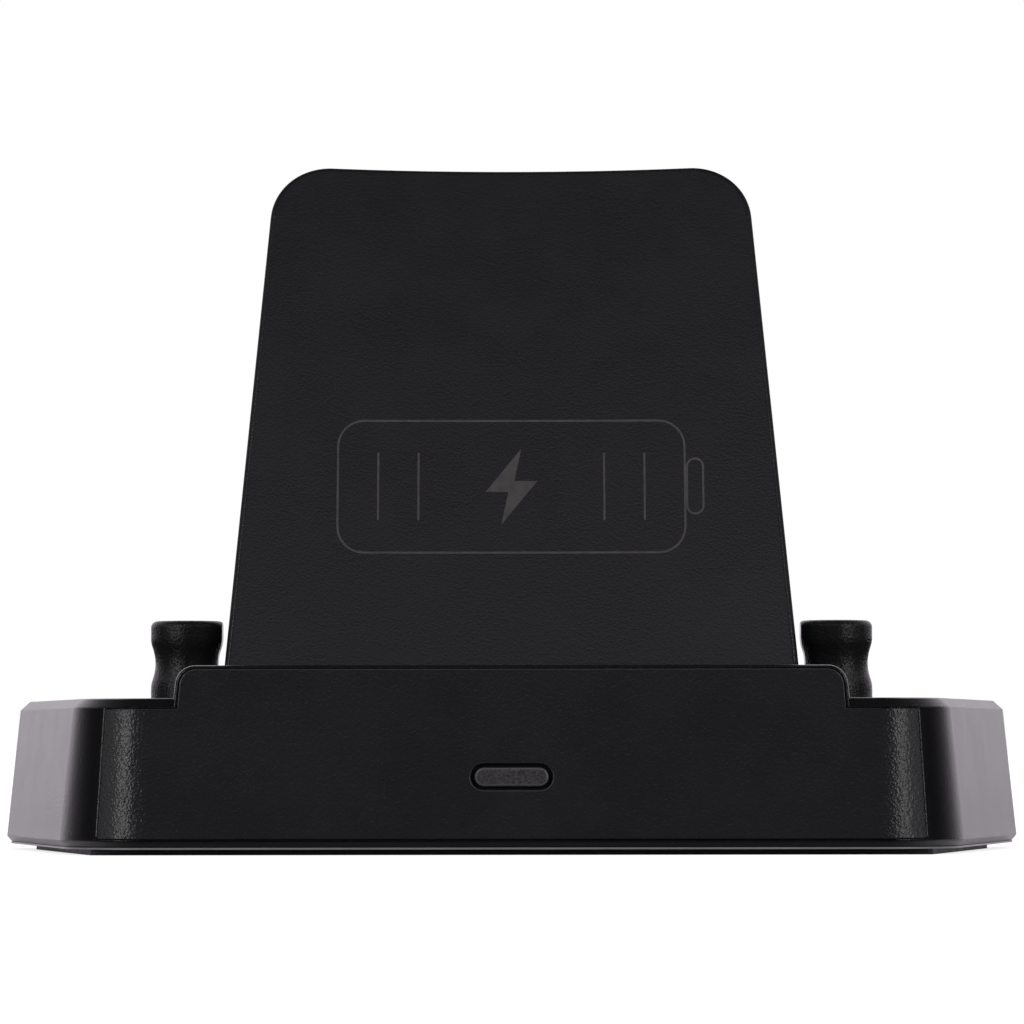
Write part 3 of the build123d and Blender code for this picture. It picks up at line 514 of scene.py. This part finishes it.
def makeRidgeTree(look):
    inputs = {"Path": "NodeSocketGeometry", "Radius": "NodeSocketFloat", "Finish": "NodeSocketMaterial"}
    tree, start, end = newGroup("partingRidge", "GeometryNodeTree", inputs, {"Ridge": "NodeSocketGeometry"})
    path = addNode(tree, "GeometryNodeMeshToCurve")
    section = addNode(tree, "GeometryNodeCurvePrimitiveCircle")
    section.inputs["Resolution"].default_value = look["sides"]
    sweep = addNode(tree, "GeometryNodeCurveToMesh")
    sweep.inputs["Fill Caps"].default_value = True
    solid = addNode(tree, "GeometryNodeRealizeInstances")
    finish = addNode(tree, "GeometryNodeSetMaterial")
    tree.links.new(start.outputs["Path"], path.inputs["Mesh"])
    tree.links.new(start.outputs["Radius"], section.inputs["Radius"])
    tree.links.new(path.outputs["Curve"], sweep.inputs["Curve"])
    tree.links.new(section.outputs["Curve"], sweep.inputs["Profile Curve"])
    tree.links.new(sweep.outputs["Mesh"], solid.inputs["Geometry"])
    tree.links.new(solid.outputs["Geometry"], finish.inputs["Geometry"])
    tree.links.new(start.outputs["Finish"], finish.inputs["Material"])
    tree.links.new(finish.outputs["Geometry"], end.inputs["Ridge"])
    return tree


ridgeTree = makeRidgeTree(ridgeLook)


def buildRidges(post, look):
    surface = surfaceOf(post)
    low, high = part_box(post)
    middleX = (low.x + high.x) / 2
    deckSpot = Vector((middleX, high.y + look["beside"] * mm, farOff))    # over the deck, behind the post
    deck = surfaceOf("base_housing").ray_cast(deckSpot, Vector((0, 0, -1)))[0].z
    line, rows = [], []
    for facing in (-1, 1):
        first = len(line)
        for part in range(look["steps"] + 1):
            level = deck + look["foot"] * mm
            level += (high.z - look["top"] * mm - level) * part / look["steps"]
            spot = surface.ray_cast(Vector((middleX, facing * farOff, level)), Vector((0, -facing, 0)))[0]
            line.append(spot - Vector((0, facing * look["sink"] * mm, 0)))
        rows += [(number, number + 1) for number in range(first, len(line) - 1)]
    path = bpy.data.meshes.new(post + "_ridges")
    path.from_pydata(line, rows, [])
    values = {"Radius": look["radius"] * mm, "Finish": materials["grainedPost"]}
    return newPiece(post + "_ridges", runNodes(post + "_ridges", ridgeTree, values, path))


for post in ("left_post", "right_post"):
    buildRidges(post, ridgeLook)
print("post ridges made")

# rows of spring contacts in the plug and pads on the inlet's tongue, sizes in mm, lean in degrees
contactLook = {"count": 12, "pitch": 0.5, "width": 0.26, "thickness": 0.08, "lean": 18.0,
               "knee": 0.75, "bendSteps": 6}    # the knee as a share of the reach
plugContacts = {"slotHalf": 0.5, "reach": 4.6, "rise": 0.16, "below": 5.0}
inletContacts = {"plateHalf": 0.35, "reach": 3.7, "rise": 0.0, "behind": 0.4}


def makeContactTree(look):
    inputs = {"Count": "NodeSocketInt", "Finish": "NodeSocketMaterial"}
    inputs.update({name: "NodeSocketFloat" for name in ("Pitch", "Reach", "Rise", "Width", "Thickness")})
    tree, start, end = newGroup("contactRow", "GeometryNodeTree", inputs, {"Row": "NodeSocketGeometry"})

    def corner(x, y, z):
        node = addNode(tree, "ShaderNodeCombineXYZ")
        for socket, value in zip(node.inputs, (x, y, z)):
            if value is not None:
                tree.links.new(value, socket)
        return node.outputs[0]

    values = start.outputs
    bend = addNode(tree, "GeometryNodeCurveQuadraticBezier")
    bend.inputs["Resolution"].default_value = look["bendSteps"]
    knee = addMath(tree, "MULTIPLY", values["Reach"], look["knee"])
    tree.links.new(corner(None, knee, values["Rise"]), bend.inputs["Middle"])
    tree.links.new(corner(None, values["Reach"], None), bend.inputs["End"])
    bend.inputs["Start"].default_value = (0, 0, 0)
    section = addNode(tree, "GeometryNodeCurvePrimitiveQuadrilateral")
    tree.links.new(values["Width"], section.inputs["Width"])
    tree.links.new(values["Thickness"], section.inputs["Height"])
    blade = addNode(tree, "GeometryNodeCurveToMesh")
    blade.inputs["Fill Caps"].default_value = True
    tree.links.new(bend.outputs["Curve"], blade.inputs["Curve"])
    tree.links.new(section.outputs["Curve"], blade.inputs["Profile Curve"])
    places = addNode(tree, "GeometryNodeMeshLine")
    tree.links.new(values["Count"], places.inputs["Count"])
    span = addMath(tree, "MULTIPLY", addMath(tree, "SUBTRACT", values["Count"], 1), values["Pitch"])
    tree.links.new(corner(addMath(tree, "MULTIPLY", span, -0.5), None, None), places.inputs["Start Location"])
    tree.links.new(corner(values["Pitch"], None, None), places.inputs["Offset"])
    spread = addNode(tree, "GeometryNodeInstanceOnPoints")
    tree.links.new(places.outputs["Mesh"], spread.inputs["Points"])
    tree.links.new(blade.outputs["Mesh"], spread.inputs["Instance"])
    solid = addNode(tree, "GeometryNodeRealizeInstances")
    tree.links.new(spread.outputs["Instances"], solid.inputs["Geometry"])
    finish = addNode(tree, "GeometryNodeSetMaterial")
    tree.links.new(solid.outputs["Geometry"], finish.inputs["Geometry"])
    tree.links.new(values["Finish"], finish.inputs["Material"])
    tree.links.new(finish.outputs["Geometry"], end.inputs["Row"])
    return tree


contactTree = makeContactTree(contactLook)


def buildContacts(name, look, places):
    values = {"Count": contactLook["count"], "Finish": materials["contactGold"]}
    for key in ("pitch", "width", "thickness"):
        values[key.capitalize()] = contactLook[key] * mm
    for key in ("reach", "rise"):
        values[key.capitalize()] = look[key] * mm
    shape = bmesh.new()
    for place in places:    # the same row, turned to face its neighbour
        row = runNodes(name, contactTree, values)
        row.transform(place)
        shape.from_mesh(row)
    bmesh.ops.recalc_face_normals(shape, faces=shape.faces)
    mesh = bpy.data.meshes.new(name)
    shape.to_mesh(mesh)
    shape.free()
    mesh.materials.append(materials["contactGold"])
    return newPiece(name, mesh)


def frameAt(across, along, facing, spot):
    matrix = Matrix((across, along, facing)).transposed().to_4x4()
    matrix.translation = spot
    return matrix


low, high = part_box("plug_core")
lean = radians(contactLook["lean"])
upSlope = Vector((0, sin(lean), cos(lean)))
forward = Vector((0, -cos(lean), sin(lean)))
across = Vector((1, 0, 0))
size = high - low
coreLength = (size.z * cos(lean) - size.y * sin(lean)) / cos(2 * lean)    # the bar leans, its box doesn't
slotStart = (low + high) / 2 + upSlope * (coreLength / 2 - plugContacts["below"] * mm)
half = plugContacts["slotHalf"] * mm
plugPlaces = [frameAt(across, upSlope, -forward, slotStart + forward * half),
              frameAt(-across, upSlope, forward, slotStart - forward * half)]
buildContacts("plug_contacts", plugContacts, plugPlaces)

low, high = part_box("power_socket_tongue")
padStart = Vector((0, high.y - (inletContacts["reach"] + inletContacts["behind"]) * mm, (low.z + high.z) / 2))
half = inletContacts["plateHalf"] * mm
outwards, upwards = Vector((0, 1, 0)), Vector((0, 0, 1))
inletPlaces = [frameAt(-across, outwards, upwards, padStart + upwards * half),
               frameAt(across, outwards, -upwards, padStart - upwards * half)]
buildContacts("inlet_contacts", inletContacts, inletPlaces)
print("contacts made")

# stage: camera, floor, surroundings and lamps
cameraLook = {"spot": (0.00005, -0.938, 0.0163), "pitch": 92.347, "roll": 0.07, "lens": 204.1, "sensor": 36.0}
camera = bpy.data.objects.new("camera", bpy.data.cameras.new("camera"))
camera.location = cameraLook["spot"]
camera.rotation_euler = (radians(cameraLook["pitch"]), radians(cameraLook["roll"]), 0)
camera.data.lens = cameraLook["lens"]
camera.data.sensor_width = cameraLook["sensor"]
bpy.context.scene.collection.objects.link(camera)
bpy.context.scene.camera = camera

# the floor is pale; in the dock's own gloss it is painted white along the flared sides and painted dim
# elsewhere, a painted shade in front of the dock; its level is in mm, the other places in metres, and
# sideLine ends with the flare
floorLook = {"size": 60.0, "level": -0.02, "pale": 0.42, "seen": 0.78, "dim": 0.01, "white": 1.0,
             "frontEdge": (-0.042, -0.032), "sideLine": (0.0745, 0.2345), "sideEdge": (0.045, 0.020)}


def buildFloor(look):
    half = look["size"] / 2
    mesh = bpy.data.meshes.new("floor")
    corners = [(-half, -half), (half, -half), (half, half), (-half, half)]
    mesh.from_pydata([(x, y, look["level"] * mm) for x, y in corners], [], [(0, 1, 2, 3)])
    material = bpy.data.materials.new("paleFloor")
    material.use_nodes = True
    tree = material.node_tree
    tree.nodes.clear()
    path = addNode(tree, "ShaderNodeLightPath")
    direct = addMath(tree, "MAXIMUM", path.outputs["Is Camera Ray"], path.outputs["Is Transmission Ray"])
    level = addMath(tree, "MULTIPLY", direct, look["seen"])
    place = addNode(tree, "ShaderNodeSeparateXYZ")
    tree.links.new(addNode(tree, "ShaderNodeTexCoord").outputs["Object"], place.inputs[0])
    middle, flare = look["sideLine"]
    beside = addMath(tree, "SUBTRACT", addMath(tree, "ABSOLUTE", place.outputs["X"], 0.0), middle)
    beside = addMath(tree, "SUBTRACT", beside, addMath(tree, "MULTIPLY", place.outputs["Y"], flare))
    clear = addMath(tree, "MULTIPLY", mapValue(tree, place.outputs["Y"], *look["frontEdge"], 0.0, 1.0),
                    mapValue(tree, beside, *look["sideEdge"], 0.0, 1.0))
    mirrored = mapValue(tree, clear, 0.0, 1.0, look["dim"], look["white"])
    matt = addNode(tree, "ShaderNodeBsdfDiffuse")
    shade = mixValue(tree, path.outputs["Is Glossy Ray"], look["pale"], mirrored)
    tree.links.new(shade, matt.inputs["Color"])
    glow = addNode(tree, "ShaderNodeEmission")
    tree.links.new(level, glow.inputs["Strength"])
    both = addNode(tree, "ShaderNodeAddShader")
    tree.links.new(matt.outputs[0], both.inputs[0])
    tree.links.new(glow.outputs[0], both.inputs[1])
    tree.links.new(both.outputs[0], addNode(tree, "ShaderNodeOutputMaterial").inputs["Surface"])
    mesh.materials.append(material)
    floor = bpy.data.objects.new("floor", mesh)
    bpy.context.scene.collection.objects.link(floor)


buildFloor(floorLook)

# white surroundings behind the dock, dim at its sides and front: pairs of place and brightness, behind from
# front to back, front from the horizon to overhead
roomLook = {
    "ambient": 0.85,
    "behind": ((0.44, 0.0), (0.50, 0.03), (0.585, 0.11), (0.67, 0.24),
               (0.775, 0.50), (0.86, 0.97), (0.92, 1.06)),
    "front": ((0.0, 0.02), (0.40, 0.02), (0.49, 0.54), (0.55, 0.54), (0.64, 0.02), (1.0, 0.0)),
    "overhead": 0.2,    # how far the white stays back overhead
    "sides": (1.06, 0.94),    # the left is a little brighter than the right
    "sideSpan": (-0.5, 0.5),
    "tint": (0.985, 0.920, 1.0),
}


def addRamp(tree, source, stops):
    ramp = addNode(tree, "ShaderNodeValToRGB")
    elements = ramp.color_ramp.elements
    while len(elements) < len(stops):
        elements.new(0.5)
    for element, (place, level) in zip(elements, stops):
        element.position = place
        element.color = (level, level, level, 1)
    tree.links.new(source, ramp.inputs["Fac"])
    return ramp.outputs["Color"]


def buildRoom(look):
    world = bpy.data.worlds.new("whiteRoom")
    bpy.context.scene.world = world
    world.use_nodes = True
    tree = world.node_tree
    background = tree.nodes["Background"]
    path = addNode(tree, "ShaderNodeLightPath")
    direction = addNode(tree, "ShaderNodeSeparateXYZ")
    tree.links.new(addNode(tree, "ShaderNodeTexCoord").outputs["Generated"], direction.inputs[0])
    front = addRamp(tree, direction.outputs["Z"], look["front"])
    depth = addMath(tree, "SUBTRACT", direction.outputs["Y"],
                    addMath(tree, "MULTIPLY", direction.outputs["Z"], look["overhead"]))
    behind = addRamp(tree, mapValue(tree, depth, -1.0, 1.0, 0.0, 1.0, "LINEAR"), look["behind"])
    around = mixValue(tree, behind, front, 1.0)
    balance = mapValue(tree, direction.outputs["X"], *look["sideSpan"], *look["sides"])
    around = addMath(tree, "MULTIPLY", around, balance)
    glossy = addMath(tree, "MAXIMUM", path.outputs["Is Glossy Ray"], path.outputs["Is Transmission Ray"])
    level = mixValue(tree, glossy, look["ambient"], around)
    level = mixValue(tree, path.outputs["Is Camera Ray"], level, 1.0)
    tree.links.new(level, background.inputs["Strength"])
    colour = mixColour(tree, path.outputs["Is Camera Ray"], look["tint"], (1, 1, 1))
    tree.links.new(colour, background.inputs["Color"])


buildRoom(roomLook)

# lamps stand in front of the dock: turn from the camera's side and rise above the floor in degrees,
# sizes in metres
lampStand = {"aim": (0.0, 0.0, 0.05), "away": 1.7}
lampLook = {
    "leftStrip": {"turn": -35.5, "rise": 14.0, "size": (0.20, 1.3), "power": 4.1, "spares": "right_post"},
    "leftFlank": {"turn": -56.0, "rise": 10.0, "size": (0.55, 1.1), "power": 0.9, "spares": "right_post"},
    "rightStrip": {"turn": 39.5, "rise": 14.0, "size": (0.20, 1.3), "power": 3.4, "spares": "left_post"},
    "rightFlank": {"turn": 58.0, "rise": 10.0, "size": (0.55, 1.1), "power": 0.9, "spares": "left_post"},
}


def buildLamp(name, look):
    lamp = bpy.data.lights.new(name, "AREA")
    lamp.shape = "RECTANGLE"
    lamp.size, lamp.size_y = look["size"]
    lamp.energy = look["power"]
    stand = bpy.data.objects.new(name, lamp)
    turn, rise = radians(look["turn"]), radians(look["rise"])
    away = Vector((sin(turn) * cos(rise), -cos(turn) * cos(rise), sin(rise)))
    stand.location = Vector(lampStand["aim"]) + away * lampStand["away"]
    stand.rotation_euler = away.to_track_quat("Z", "Y").to_euler()
    stand.visible_camera = False
    bpy.context.scene.collection.objects.link(stand)
    spared = bpy.data.collections.new(name + "Spares")    # flagged off the far post
    for piece in (nodes[look["spares"]], bpy.data.objects[look["spares"] + "_ridges"]):
        spared.objects.link(piece)
    for entry in spared.collection_objects:
        entry.light_linking.link_state = "EXCLUDE"
    stand.light_linking.receiver_collection = spared


for lampName, look in lampLook.items():
    buildLamp(lampName, look)
bpy.context.scene.view_settings.view_transform = "Standard"
print("stage set")
